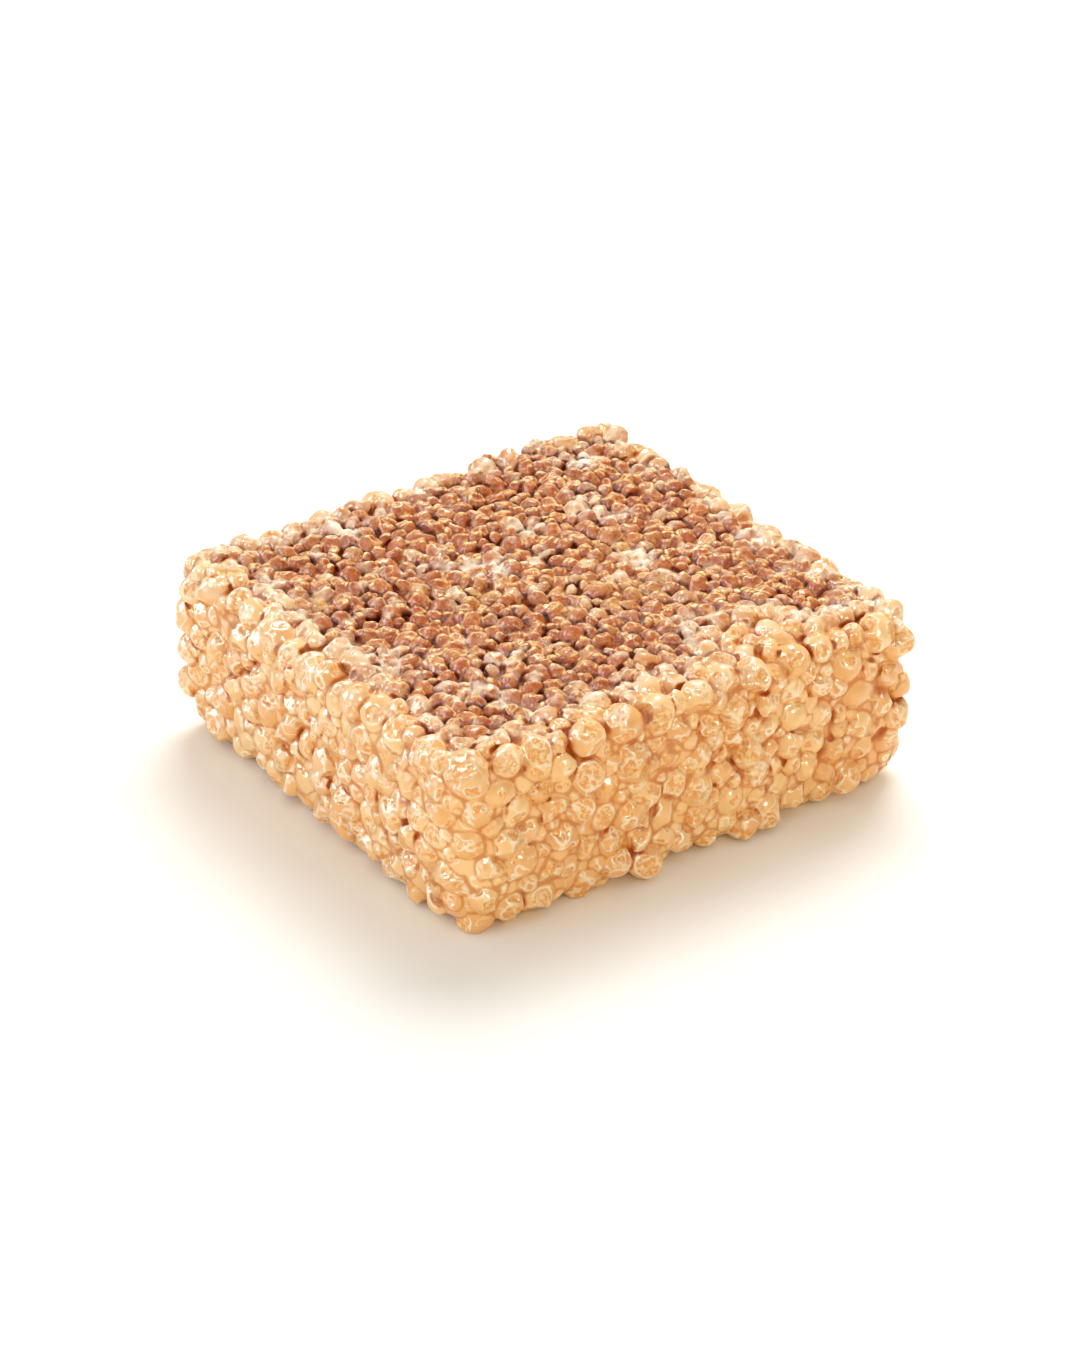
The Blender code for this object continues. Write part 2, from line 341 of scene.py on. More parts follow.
def draw_small(rng):
    """Random places for small crisps."""
    return draw_in_wall(rng, SMALL_DEPTH)


def draw_tiny(rng):
    """Random places for tiny crisps."""
    return draw_in_wall(rng, TINY_DEPTH)


# %% Draw places on the top and the underside
# The crumb lies a little lower than the border, and isn't quite level
CRUMB_SUNK = 0.5
CRUMB_INSET = 1.0  # from the bar's outline
TOP_WAVE = 0.55
TOP_WAVE_SIZE = 6.5
# Pale crisps and crumbs mix this far to each side of the crumb's edge
MIXED_EDGE = 0.3
# The tray cuts this much off the crisps under the bar
PRESSED_AWAY = 0.45


def draw_level(rng, inset, upward, wanted=None):
    """Random places on a level face, this far in from the outline, where the test holds."""
    half = np.array((LENGTH, DEPTH)) / 2 - inset
    flat = rng.uniform(-half, half, (6 * TRIES_A_ROUND, 2))
    if wanted is not None:
        flat = flat[wanted(crumb_margin(flat[:, 0], flat[:, 1]))]
    flat = np.resize(flat, (TRIES_A_ROUND, 2))
    return np.column_stack((flat, np.zeros(len(flat)))), np.tile((0.0, 0.0, upward), (len(flat), 1))


def draw_on_border(rng):
    """Random places on the pale border of the top."""
    places, outward = draw_level(rng, TOP_EDGE, 1.0, lambda margin: margin < MIXED_EDGE)
    places[:, 2] = HEIGHT
    return places, outward


def draw_on_crumb(rng):
    """Random places inside the cinnamon crumb."""
    places, outward = draw_level(rng, CRUMB_INSET, 1.0, lambda margin: margin > -MIXED_EDGE)
    places[:, 2] = HEIGHT - CRUMB_SUNK + TOP_WAVE * soft_noise(places, TOP_WAVE_SIZE)
    return places, outward


def draw_under(rng):
    """Random places on the underside, where the tray pressed the crisps flat."""
    places, outward = draw_level(rng, BOTTOM_EDGE, -1.0)
    places[:, 2] = -PRESSED_AWAY
    return places, outward


# %% Lay them all
# Name, sizes, places, and how much of each one is cinnamon
KINDS = (
    ("large crisps", LARGE_PUFFS, draw_on_wall, 0.0),
    ("foot crisps", FOOT_PUFFS, draw_on_foot, 0.0),
    ("middle crisps", MIDDLE_PUFFS, draw_on_wall, 0.0),
    ("small crisps", SMALL_PUFFS, draw_small, 0.0),
    ("border crisps", BORDER_PUFFS, draw_on_border, 0.0),
    ("pale crisps among the crumb", TOP_ISLANDS, draw_on_crumb, 0.45),
    ("large crumbs", LARGE_CRUMBS, draw_on_crumb, 1.0),
    ("small crumbs", SMALL_CRUMBS, draw_on_crumb, 1.0),
    ("tiny crisps", TINY_PUFFS, draw_tiny, 0.0),
    ("underside crisps", UNDER_PUFFS, draw_under, 0.0),
)
for seed, (name, kind, draw_places, crumb) in enumerate(KINDS):
    scatter(name, kind, draw_places, seed, crumb)
for x, y, z, size in EDGE_LUMPS:
    lay([(x, y, z)], [size])

centre, radius, crumb = heap["centre"], heap["radius"], heap["crumb"]
is_crumb = crumb > 0.9
puff_count = len(radius)
print(f"{puff_count} crisps, mean width {2 * radius.mean():.2f} mm")

# %% Dust the crisps next to the crumb
DUST_REACH = 3.5
CRUMB_FADE = 1.5
# The cinnamon ends this far under the top
TOP_BAND = 4.0
# The least and the most of it on a dusted pale crisp, and on a crumb at the crumb's edge
DUST_SHARES = (0.1, 0.75)
EDGE_SHARES = (0.5, 1.0)
dust_rng = np.random.default_rng((SEED, len(KINDS)))
past_edge = crumb_margin(centre[:, 0], centre[:, 1])
dust = np.clip(1 + past_edge / DUST_REACH, 0, 1) * dust_rng.uniform(*DUST_SHARES, puff_count)
crumb = np.where(centre[:, 2] > HEIGHT - TOP_BAND, np.maximum(crumb, dust), crumb)
fading = np.clip(past_edge / CRUMB_FADE, 0, 1) + dust_rng.uniform(*EDGE_SHARES, puff_count)
crumb = np.where(is_crumb, np.minimum(fading, 1), crumb)
print(f"{((crumb > 0.1) & ~is_crumb).sum()} pale crisps dusted with cinnamon")

# %% [markdown]
# ## Each crisp's own shape
#
# A puffed crisp is a slightly squashed ball, and each burst bubble has left a flat oval facet on it. A
# 3 by 3 matrix for each crisp turns and squashes an offset from its middle, and each facet is a plane
# that cuts the ball. Eight directions spread over the ball by the golden angle, then jittered and turned
# at random, keep the facets apart. Crumbs have wide facets that meet, as broken pebbles do.

# %% Draw the squash and the facets
FACETS = 8
FACET_JITTER = 0.25
# How much a crisp or a crumb is stretched or squashed at most, each way
CRISP_SQUASH, CRUMB_SQUASH = 0.11, 0.26
# A facet's own radius as a share of its crisp's
FACET_SHARES = (0.26, 0.72)
CRUMB_FACET_SHARES = (0.25, 0.55)
shape_rng = np.random.default_rng(SEED + 1)

turns = np.linalg.qr(shape_rng.normal(size=(puff_count, 3, 3)))[0]
loose = np.where(is_crumb, CRUMB_SQUASH, CRISP_SQUASH)
widths = 1 + loose[:, None] * shape_rng.uniform(-1, 1, (puff_count, 3))
squash = turns / widths[:, None, :]

heights = 1 - 2 * (np.arange(FACETS) + 0.5) / FACETS
golden = math.pi * (1 + math.sqrt(5)) * np.arange(FACETS)
spiral = np.stack((np.cos(golden), np.sin(golden), heights), axis=1)
spiral[:, :2] *= np.sqrt(1 - heights ** 2)[:, None]
facet_way = spiral + FACET_JITTER * shape_rng.normal(size=(puff_count, FACETS, 3))
facet_way = facet_way @ np.linalg.qr(shape_rng.normal(size=(puff_count, 3, 3)))[0]
facet_way /= np.linalg.norm(facet_way, axis=2, keepdims=True)

facet_share = shape_rng.uniform(*FACET_SHARES, (puff_count, FACETS))
facet_share[is_crumb] = shape_rng.uniform(*CRUMB_FACET_SHARES, (is_crumb.sum(), FACETS))
# How far each facet's plane is from its crisp's middle
facet_reach = radius[:, None] * np.sqrt(1 - facet_share ** 2)
tone = shape_rng.uniform(-1, 1, puff_count)
print(f"facets {2 * (facet_share * radius[:, None])[~is_crumb].mean():.1f} mm wide on the pale crisps")

# %% [markdown]
# ## The syrup core and the blend
#
# Between the crisps shows the syrup core: the same block, drawn in. Both blocks are a rounded box,
# whose distance is known by formula. The crisps and the core are joined by a soft least value,
# -k log(sum of exp(-d/k)): where k is large the syrup makes a wide web, and where it is small a crease.
# All of space is bent a little by waves first, so that no crisp is a perfect ball. Among the crumbs the
# waves are shorter too, which dents them.

# %% Distance to a rounded block
EDGE_RADII = {(side_x, side_y): edge for edge, side_x, side_y in UPRIGHT_EDGES}


def block_distance(x, y, z, inset=0.0, bottom=0.0, top=HEIGHT):
    """Signed distance to a rounded block, negative inside: the outline's distance and the distance to
    the nearer level face are joined by a circle of the edge's radius."""
    narrow = 1 - BOTTOM_TAPER * (1 - z / HEIGHT)
    x, y = x / narrow, y / narrow
    right = np.where(y > 0, EDGE_RADII[1, 1], EDGE_RADII[1, -1])
    left = np.where(y > 0, EDGE_RADII[-1, 1], EDGE_RADII[-1, -1])
    corner = np.where(x > 0, right, left)
    past_x = np.abs(x) - LENGTH / 2 + corner
    past_y = np.abs(y) - DEPTH / 2 + corner
    side = np.hypot(np.maximum(past_x, 0), np.maximum(past_y, 0)) + np.minimum(np.maximum(past_x, past_y), 0)
    side = side - corner + inset
    level = np.maximum(z - top, bottom - z)
    edge = np.where(z > HEIGHT / 2, TOP_EDGE, BOTTOM_EDGE)
    past_side, past_level = side + edge, level + edge
    round_edge = np.hypot(np.maximum(past_side, 0), np.maximum(past_level, 0))
    return round_edge + np.minimum(np.maximum(past_side, past_level), 0) - edge


middle_depth = block_distance(np.zeros(1), np.zeros(1), np.full(1, HEIGHT / 2))
print(f"the block's middle is {-middle_depth[0]:.1f} mm from its surface")

# %% Waves that bend space
# How far a place is moved and how long the waves are, everywhere and among the crumbs
BEND = 0.20
BEND_SIZE = 1.25
DENT = 0.10
DENT_SIZE = 0.34


def waves(x, y, z, size):
    """A cheap swell between -1 and 1: sines along the axes, bent by each other."""
    return np.sin(x / size + 1.7 * np.sin(y / size / 1.9)) * np.sin(y / size + 1.3 * np.sin(z / size / 1.7))


def among_crumbs(z, margin):
    """1 where the crumbs lie, 0 elsewhere."""
    return np.clip(margin, 0, 1) * np.clip(z - HEIGHT + TOP_BAND, 0, 1)


def bend(x, y, z, margin):
    """The bent place of each point: waves along each axis, in turn, with short ones among the crumbs."""
    dent = DENT * among_crumbs(z, margin)
    return (
        x + BEND * waves(y, z, x, BEND_SIZE) + dent * waves(z, x, y, DENT_SIZE),
        y + BEND * waves(z, x, y, BEND_SIZE) + dent * waves(x, y, z, DENT_SIZE),
        z + BEND * waves(x, y, z, BEND_SIZE) * np.clip(z / 2, 0, 1) + dent * waves(y, z, x, DENT_SIZE),
    )


# %% The core and the syrup's reach
# How far in the core's faces lie, and how uneven they are
WALL_INSET = 1.2
CORE_TOP = HEIGHT - 1.8
CORE_BOTTOM = 0.4
CORE_SWELL = 0.4
CORE_SWELL_SIZE = 1.4
# The syrup's usual reach, how much it varies, over what length, and its reach among the crumbs
BLEND = 0.19
BLEND_SPREAD = 1.3
BLEND_SIZE = 1.5
CRUMB_BLEND = 0.12
# The exponent is kept within this, so that no number overflows
STEEPEST = 30.0


def blend_width(x, y, z, margin):
    """How far the syrup reaches from crisp to crisp, in millimetres: little among the crumbs."""
    syrup = BLEND * np.exp(BLEND_SPREAD * waves(x, y, z, BLEND_SIZE))
    return syrup + (CRUMB_BLEND - syrup) * among_crumbs(z, margin)


def core_distance(x, y, z):
    """The core with an uneven face."""
    even = block_distance(x, y, z, WALL_INSET, CORE_BOTTOM, CORE_TOP)
    return even + CORE_SWELL * waves(y, z, x, CORE_SWELL_SIZE)


def pull(distance, blend):
    """One surface's share in the soft least value."""
    return np.exp(np.clip(-distance / blend, -STEEPEST, STEEPEST))


# %% Distance to one crisp
# How softly a facet's edge is rounded, and the lumps on a facet: how high and how long
FACET_EDGE = 0.16
LUMP = 0.05
LUMP_SIZE = 0.27


def lumps(i, local):
    """The unevenness of a crisp's facets: the sum of the products of each two of three sines, with its
    slope."""
    phase = local / LUMP_SIZE + 9 * tone[i]
    wave = np.sin(phase)
    height = wave[:, 0] * wave[:, 1] + wave[:, 1] * wave[:, 2] + wave[:, 2] * wave[:, 0]
    slope = np.cos(phase) * (wave.sum(axis=1, keepdims=True) - wave) / LUMP_SIZE
    return LUMP * height, LUMP * slope


def crisp_distance(i, local):
    """Distance to one crisp, from offsets in its own stretched space: the greater of the ball's
    distance and that of the facet's uneven plane, rounded over the facet's edge. Also gives both
    distances, the plane's slope and the facet's number."""
    ball = np.sqrt(np.einsum("ij,ij->i", local, local)) - radius[i]
    planes = local @ facet_way[i].T - facet_reach[i]
    facet = planes.argmax(axis=1)
    height, slope = lumps(i, local)
    plane = planes[np.arange(len(planes)), facet] + height
    overlap = np.maximum(FACET_EDGE - np.abs(ball - plane), 0)
    rounded = np.maximum(ball, plane) + 0.25 * overlap ** 2 / FACET_EDGE
    return rounded, ball, plane, facet_way[i][facet] + slope, facet


# %% Fill a lattice of distances
STEP = 0.27
# How far the lattice goes past the block, and a crisp's pull past the crisp
MARGIN = 2.4
REACH = 1.0
# Distances past this say nothing about the surface
FURTHEST = 2.0
lattice_low = np.array((-LENGTH / 2 - MARGIN, -DEPTH / 2 - MARGIN, -1.5 * STEP))
lattice_high = np.array((LENGTH / 2 + MARGIN, DEPTH / 2 + MARGIN, HEIGHT + MARGIN))
lattice_size = np.ceil((lattice_high - lattice_low) / STEP).astype(int) + 1
ticks = [lattice_low[axis] + STEP * np.arange(lattice_size[axis]) for axis in range(3)]
grid_x, grid_y, grid_z = np.ix_(*ticks)
level_x, level_y, _ = np.broadcast_arrays(grid_x, grid_y, grid_z[:, :, :1])
grid_margin = crumb_margin(level_x, level_y)
grid_blend = blend_width(grid_x, grid_y, grid_z, grid_margin).astype(np.float32)
bent_axes = bend(grid_x, grid_y, grid_z, grid_margin)
bent_lattice = np.stack([axis.astype(np.float32) for axis in bent_axes], axis=3)


def fill_lattice():
    """Adds the core's pull everywhere and each crisp's pull in the box of lattice points round it."""
    total = pull(core_distance(grid_x, grid_y, grid_z), grid_blend).astype(np.float32)
    for i in range(puff_count):
        first = np.ceil((centre[i] - radius[i] - REACH - lattice_low) / STEP).astype(int)
        last = np.floor((centre[i] + radius[i] + REACH - lattice_low) / STEP).astype(int) + 1
        box = tuple(slice(max(a, 0), min(b, n)) for a, b, n in zip(first, last, lattice_size))
        local = (bent_lattice[box] - centre[i]).reshape(-1, 3) @ squash[i]
        distance = crisp_distance(i, local)[0].reshape(total[box].shape)
        total[box] += pull(distance, grid_blend[box])
    return -grid_blend * np.log(np.maximum(total, 1e-12))


field = np.clip(np.maximum(fill_lattice(), -grid_z), -FURTHEST, FURTHEST).astype(np.float32)
print("lattice", field.shape, f"{100 * (field < 0).mean():.0f}% inside")

# %% [markdown]
# ## From distances to a surface
#
# Surface nets turn the lattice into a mesh. Every small cube whose corners aren't all on one side gets
# one point, at the mean of the places where the surface crosses the cube's edges. Every lattice edge
# that the surface crosses gives a four-sided face between the four cubes round it. The result is closed.

# %% Surface nets as whole arrays
CORNERS = np.array(list(np.ndindex(2, 2, 2)))
CUBE_EDGES = [(a, b) for a in range(8) for b in range(a + 1, 8) if np.abs(CORNERS[a] - CORNERS[b]).sum() == 1]


def net_points(values, cells):
    """For each crossed cube, the mean of its crossing points: an edge from f to g is crossed at
    f / (f - g) of its length."""
    at_corner = [values[tuple((cells + corner).T)] for corner in CORNERS]
    total = np.zeros((len(cells), 3))
    count = np.zeros(len(cells))
    for a, b in CUBE_EDGES:
        crossed = (at_corner[a] < 0) != (at_corner[b] < 0)
        gap = np.where(crossed, at_corner[a] - at_corner[b], 1)
        share = np.where(crossed, at_corner[a] / gap, 0)
        total += crossed[:, None] * (CORNERS[a] + share[:, None] * (CORNERS[b] - CORNERS[a]))
        count += crossed
    return lattice_low + STEP * (cells + total / count[:, None])


def net_faces(inside, numbers):
    """For each crossed lattice edge, the four cubes round it, in the order that faces outwards."""
    faces = []
    for axis in range(3):
        after = [slice(1, -1)] * 3
        before = [slice(1, -1)] * 3
        before[axis], after[axis] = slice(0, -1), slice(1, None)
        first, second = inside[tuple(before)], inside[tuple(after)]
        crossing = np.argwhere(first != second)
        outward = first[tuple(crossing.T)]
        node = crossing + 1
        node[:, axis] -= 1
        ring = []
        for step_b, step_c in ((1, 1), (0, 1), (0, 0), (1, 0)):
            cube = node.copy()
            cube[:, (axis + 1) % 3] -= step_b
            cube[:, (axis + 2) % 3] -= step_c
            ring.append(numbers[tuple(cube.T)])
        ring = np.stack(ring, axis=1)
        faces.append(np.where(outward[:, None], ring, ring[:, ::-1]))
    return np.concatenate(faces)


# %% Build the net
inside = field < 0
shifted = [inside[tuple(slice(s, n - 1 + s) for s, n in zip(corner, inside.shape))] for corner in CORNERS]
crossed_cells = np.logical_or.reduce(shifted) & ~np.logical_and.reduce(shifted)
cells = np.argwhere(crossed_cells)
numbers = np.full(crossed_cells.shape, -1, np.int32)
numbers[crossed_cells] = np.arange(len(cells))
points = net_points(field, cells)
quads = net_faces(inside, numbers)
print(f"{len(points)} points, {2 * len(quads)} triangles")

# %% [markdown]
# ## Onto the exact surface
#
# The net's points lie near the surface, at the means of their cubes. Here every point is pulled onto the
# exact surface by Newton's step: back along the slope by the distance that is left. The points are
# sorted into boxes first, so that each crisp only looks at the points near it.

# %% Sort the points into boxes
BOX = 2.0
box_count = np.ceil((lattice_high - lattice_low) / BOX).astype(int) + 1
box_of_point = np.floor((points - lattice_low) / BOX).astype(int)
box_number = np.ravel_multi_index(tuple(box_of_point.T), tuple(box_count))
in_box_order = np.argsort(box_number, kind="stable")
box_start = np.searchsorted(box_number[in_box_order], np.arange(box_count.prod() + 1))


def points_near(place, reach):
    """The numbers of the points in the boxes that a ball of this reach touches."""
    first = np.maximum(np.floor((place - reach - lattice_low) / BOX).astype(int), 0)
    last = np.minimum(np.floor((place + reach - lattice_low) / BOX).astype(int), box_count - 1)
    runs = []
    for i in range(first[0], last[0] + 1):
        for j in range(first[1], last[1] + 1):
            row = (i * box_count[1] + j) * box_count[2]
            runs.append(in_box_order[box_start[row + first[2]]:box_start[row + last[2] + 1]])
    return np.concatenate(runs)


print(f"{len(np.unique(box_number))} boxes hold the points")

# %% One crisp at the points near it
# How far out a crisp still counts, and the raised rim round its facets
NEAR = 0.7
RIM_HEIGHT = 0.06
RIM_WIDTH = 0.27


def crisp_at_points(i, bent):
    """One crisp at the points near it: their numbers, the distance with the facets' raised rims, its
    slope, and how far outside a facet's rim each point is."""
    near = points_near(centre[i], radius[i] + NEAR)
    local = (bent[near] - centre[i]) @ squash[i]
    close = (local ** 2).sum(axis=1) < (radius[i] + NEAR) ** 2
    near, local = near[close], local[close]
    distance, ball, plane, plane_way, facet = crisp_distance(i, local)
    share = facet_share[i][facet]
    edge = (ball - plane) / share
    rim = RIM_HEIGHT * np.exp(-(edge / RIM_WIDTH) ** 2)
    flatness = np.clip(0.5 + (plane - ball) / (2 * FACET_EDGE), 0, 1)[:, None]
    ball_way = local / (ball + radius[i])[:, None]
    rise = (2 * edge * rim / (RIM_WIDTH ** 2 * share))[:, None]
    way = (1 - flatness + rise) * ball_way + (flatness - rise) * plane_way
    return near, distance - rim, way @ squash[i].T, edge


# %% The exact distance, its slope, and what shows at each point
# The marks change from crisp to crisp within this distance
MARK_BLEND = 0.13
# The core's say in the marks, and the rim distance that it gives, which paints no rim
CORE_SAY = 0.3
NO_RIM = 0.6
SMALL_STEP = 0.01
point_margin = crumb_margin(points[:, 0], points[:, 1])
point_blend = blend_width(*points.T, point_margin)


def measure(points, marks=False):
    """The exact distance and slope of the crust at each point and, if asked, the marks for its finish:
    distance to the nearest facet's rim (negative inside), how much it is crumb, its crisp's own tone,
    and how much it belongs to one crisp alone."""
    x, y, z = points.T
    core = core_distance(x, y, z)
    steps = [core_distance(*(points + nudge).T) for nudge in SMALL_STEP * np.eye(3)]
    total = pull(core, point_blend)
    slope = total[:, None] * np.stack([(step - core) / SMALL_STEP for step in steps], axis=1)
    sharp = CORE_SAY * pull(core, MARK_BLEND)
    most = sharp.copy()
    on_top = (point_margin > 0) & (z > HEIGHT / 2)
    found = sharp[:, None] * np.stack((np.full(len(x), NO_RIM), on_top, np.zeros(len(x))), axis=1)
    bent = np.stack(bend(x, y, z, point_margin), axis=1)
    for i in range(puff_count):
        near, distance, way, edge = crisp_at_points(i, bent)
        weight = pull(distance, point_blend[near])
        total[near] += weight
        slope[near] += weight[:, None] * way
        if marks:
            weight = pull(distance, MARK_BLEND)
            sharp[near] += weight
            most[near] = np.maximum(most[near], weight)
            mark = np.stack((edge, np.full(len(edge), crumb[i]), np.full(len(edge), tone[i])), axis=1)
            found[near] += weight[:, None] * mark
    distance = -point_blend * np.log(total)
    return distance, slope / total[:, None], found / sharp[:, None], most / sharp


# %% Pull every point onto the surface
LONGEST_MOVE = 0.4 * STEP
LEAST_SLOPE = 0.25
for _ in range(2):
    distance, slope, _, _ = measure(points)
    on_tray = -points[:, 2] > distance
    steepness = np.maximum((slope ** 2).sum(axis=1), LEAST_SLOPE)
    move = np.clip(distance, -LONGEST_MOVE, LONGEST_MOVE) / steepness
    pulled = points - move[:, None] * slope
    pulled[:, 2] = np.maximum(pulled[:, 2], 0)
    points = np.where(on_tray[:, None], points * (1, 1, 0), pulled)
distance, slope, marks, alone = measure(points, marks=True)
on_tray = points[:, 2] < 0.02
print(f"mean error after the pull {np.abs(distance[~on_tray]).mean():.3f} mm")

# %% [markdown]
# ## What the finish needs to know
#
# More numbers for each point come from the shape: how much of the space above it is filled by its
# neighbours, where the finish paints shade in a deeper colour, whether it lies on a ridge, where it paints
# pale and golden highlights, and the direction that it faces, whose share towards the back light places
# the painted highlights. The larger spots of white haze, where the syrup has dried milky over the crumb,
# and the golden places, where little cinnamon fell, are listed.

# %% The way that each point faces
def add_at_corners(values):
    """For each point, the sum of a value over the faces round it."""
    return sum(np.bincount(quads[:, c], values, len(points)) for c in range(4))


corners = points[quads]
across = np.cross(corners[:, 2] - corners[:, 0], corners[:, 3] - corners[:, 1])
facing = np.stack([add_at_corners(axis) for axis in across.T], axis=1)
facing /= np.maximum(np.linalg.norm(facing, axis=1, keepdims=True), 1e-9)
exact = np.where(on_tray[:, None], (0.0, 0.0, -1.0), slope)
exact /= np.maximum(np.linalg.norm(exact, axis=1, keepdims=True), 1e-9)
agree = (exact * facing).sum(axis=1)
# Crumbs keep the mesh's own facing, which leaves their broken edges sharp
smooth = (agree > 0.6) & (marks[:, 1] < 0.5)
shading = np.where(smooth[:, None], exact, facing)
print(f"{100 * smooth.mean():.1f}% of the points use the formula's own facing")


# %% Hollows
def read_lattice(places):
    """The lattice's value at any place, blended between the eight lattice points round it."""
    scaled = np.clip((places - lattice_low) / STEP, 0, lattice_size - 1.001)
    corner = np.floor(scaled).astype(int)
    share = scaled - corner
    total = np.zeros(len(places))
    for step in np.ndindex(2, 2, 2):
        total += np.prod(np.where(step, share, 1 - share), axis=1) * field[tuple((corner + step).T)]
    return total


# How far above the surface the lattice is read, in millimetres
LOOKS = (0.35, 0.7, 1.2)
# The finish paints shade deeper in colour where the space above is filled
hollow = sum(np.clip(1 - read_lattice(points + facing * look) / look, 0, 1) for look in LOOKS) / len(LOOKS)
print(f"hollow {hollow.mean():.2f} on average")


# %% Ridges and creases
def round_about(values):
    """The mean of a value over each point's neighbours."""
    beside = [(c, quads[:, (c + step) % 4]) for c in range(4) for step in (1, 3)]
    total = sum(np.bincount(quads[:, c], values[other], len(points)) for c, other in beside)
    return total / (2 * np.bincount(quads.ravel(), minlength=len(points)))


# How far each point stands out from its neighbours, as a share of the lattice's step
lift = points - np.stack([round_about(axis) for axis in points.T], axis=1)
ridge = round_about((lift * facing).sum(axis=1) / STEP)
# Shared with the neighbours, so that no crease breaks up into dots
crease = 1 - alone
crease = crease + round_about(crease)
print("ridge, middle and sharpest tenth:", np.percentile(ridge, (50, 90)).round(3))

# %% Haze and golden places on the top
# Middle in X and Y, and radius
HAZE = (
    (-3.0, 8.0, 4.5),
    (18.0, 13.0, 4.0),
    (-15.5, -15.0, 4.0),
    (15.0, -0.5, 3.0),
    (7.0, 14.0, 3.0),
    (-28.0, -4.0, 4.0),
    (-24.0, -17.0, 3.5),
    (10.0, -20.0, 3.5),
    (25.0, 26.0, 3.5),
    (-13.0, 27.0, 3.5),
    (31.0, -6.0, 3.0),
)
GOLD = ((3.5, -5.5, 6.5), (16.0, 3.0, 5.0), (12.0, -8.0, 4.0), (-28.0, 12.0, 4.0), (-8.0, 2.0, 4.0))


def spots(places, middles, noise_size, shift):
    """How much each place lies in soft-edged spots: 1 at a spot's middle and 0 at its waved edge."""
    most = np.zeros(len(places))
    for x, y, size in middles:
        gap = np.hypot(places[:, 0] - x, places[:, 1] - y) / size
        most = np.maximum(most, np.clip(1.15 - gap, 0, 1))
    return np.clip(most * (1 + 1.5 * soft_noise(places, noise_size, shift)), 0, 1)


top_share = np.clip((points[:, 2] - HEIGHT + TOP_BAND) / 2, 0, 1)
haze = spots(points, HAZE, 1.9, 1)
# Thin haze where a noise peaks, and more of it along the crumb's edge
thin_haze = np.clip(2.4 * soft_noise(points, 2.3, 3) - 0.62, 0, 1)
edge_haze = np.exp(-((point_margin - 0.5) / 2.2) ** 2) * np.clip(0.5 + 1.3 * soft_noise(points, 2.2, 4), 0, 1)
haze = np.maximum.reduce((haze, 0.55 * thin_haze, 0.75 * edge_haze)) * top_share
gold = spots(points, GOLD, 2.5, 2) * top_share
print(f"haze over {100 * (haze > 0.3).sum() / (top_share > 0).sum():.0f}% of the top")

# %% Gather the marks
# The way towards the back light: how much each point faces it places the painted highlights, golden on
# the crumbs and pale beside the crisps' creases
BACK_LIGHT_WAY = np.array((0.34, 0.48, 0.81))

point_marks = {
    "rim_distance": marks[:, 0] + 0.9 * (1 - alone),
    "crumb": marks[:, 1],
    "tone": marks[:, 2],
    "crease": crease,
    "hollow": hollow,
    "ridge": ridge,
    "faces_back_light": shading @ BACK_LIGHT_WAY,
    "haze": haze,
    "gold": gold,
}
print(len(point_marks), "marks at each point")

# %% [markdown]
# ## Cutting the crust into pieces
#
# One mesh of this size would be awkward to handle, so the crust is cut into its walls, its top and its
# underside, along planes through the block's middle. Each piece is closed behind: one strip tucks its
# cut edge into the crust, another goes straight down to a smaller block deep inside, and a fan of
# triangles goes from there to the middle. Both sides of a cut keep the same facing, so it can't be seen.

# %% Sort the faces by side and find the cut edges
HALF = np.array((LENGTH / 2, DEPTH / 2, HEIGHT / 2))
MIDDLE = np.array((0.0, 0.0, HEIGHT / 2))
SIDES = ("wall_left", "wall_right", "wall_front", "wall_back", "underside", "top_front", "top_back")


def side_numbers(places):
    """Which piece each place belongs to: the axis on which it is furthest out, and its sign."""
    out = (places - MIDDLE) / HALF
    axis = np.abs(out).argmax(axis=1)
    positive = out[np.arange(len(out)), axis] > 0
    return np.where((axis == 2) & positive, 5 + (places[:, 1] > 0), 2 * axis + positive)


def cut_edges(faces, count):
    """The starts and ends of the edges where a piece was cut: those that its faces run along more often
    one way than the other."""
    starts, ends = faces.ravel().astype(np.int64), np.roll(faces, -1, axis=1).ravel().astype(np.int64)
    edges, which = np.unique(np.minimum(starts, ends) * count + np.maximum(starts, ends), return_inverse=True)
    excess = np.bincount(which, np.sign(ends - starts)).astype(int)
    lower, upper = np.divmod(np.repeat(edges, np.abs(excess)), count)
    rising = np.repeat(excess, np.abs(excess)) > 0
    return np.where(rising, lower, upper), np.where(rising, upper, lower)


owner = side_numbers(points[quads].mean(axis=1))
print("faces on each side:", dict(zip(SIDES, np.bincount(owner).tolist())))

# %% Close a piece behind
# How far the first strip goes under the crust, and the second into the block
TUCK = 0.6
DEEP = 4.0


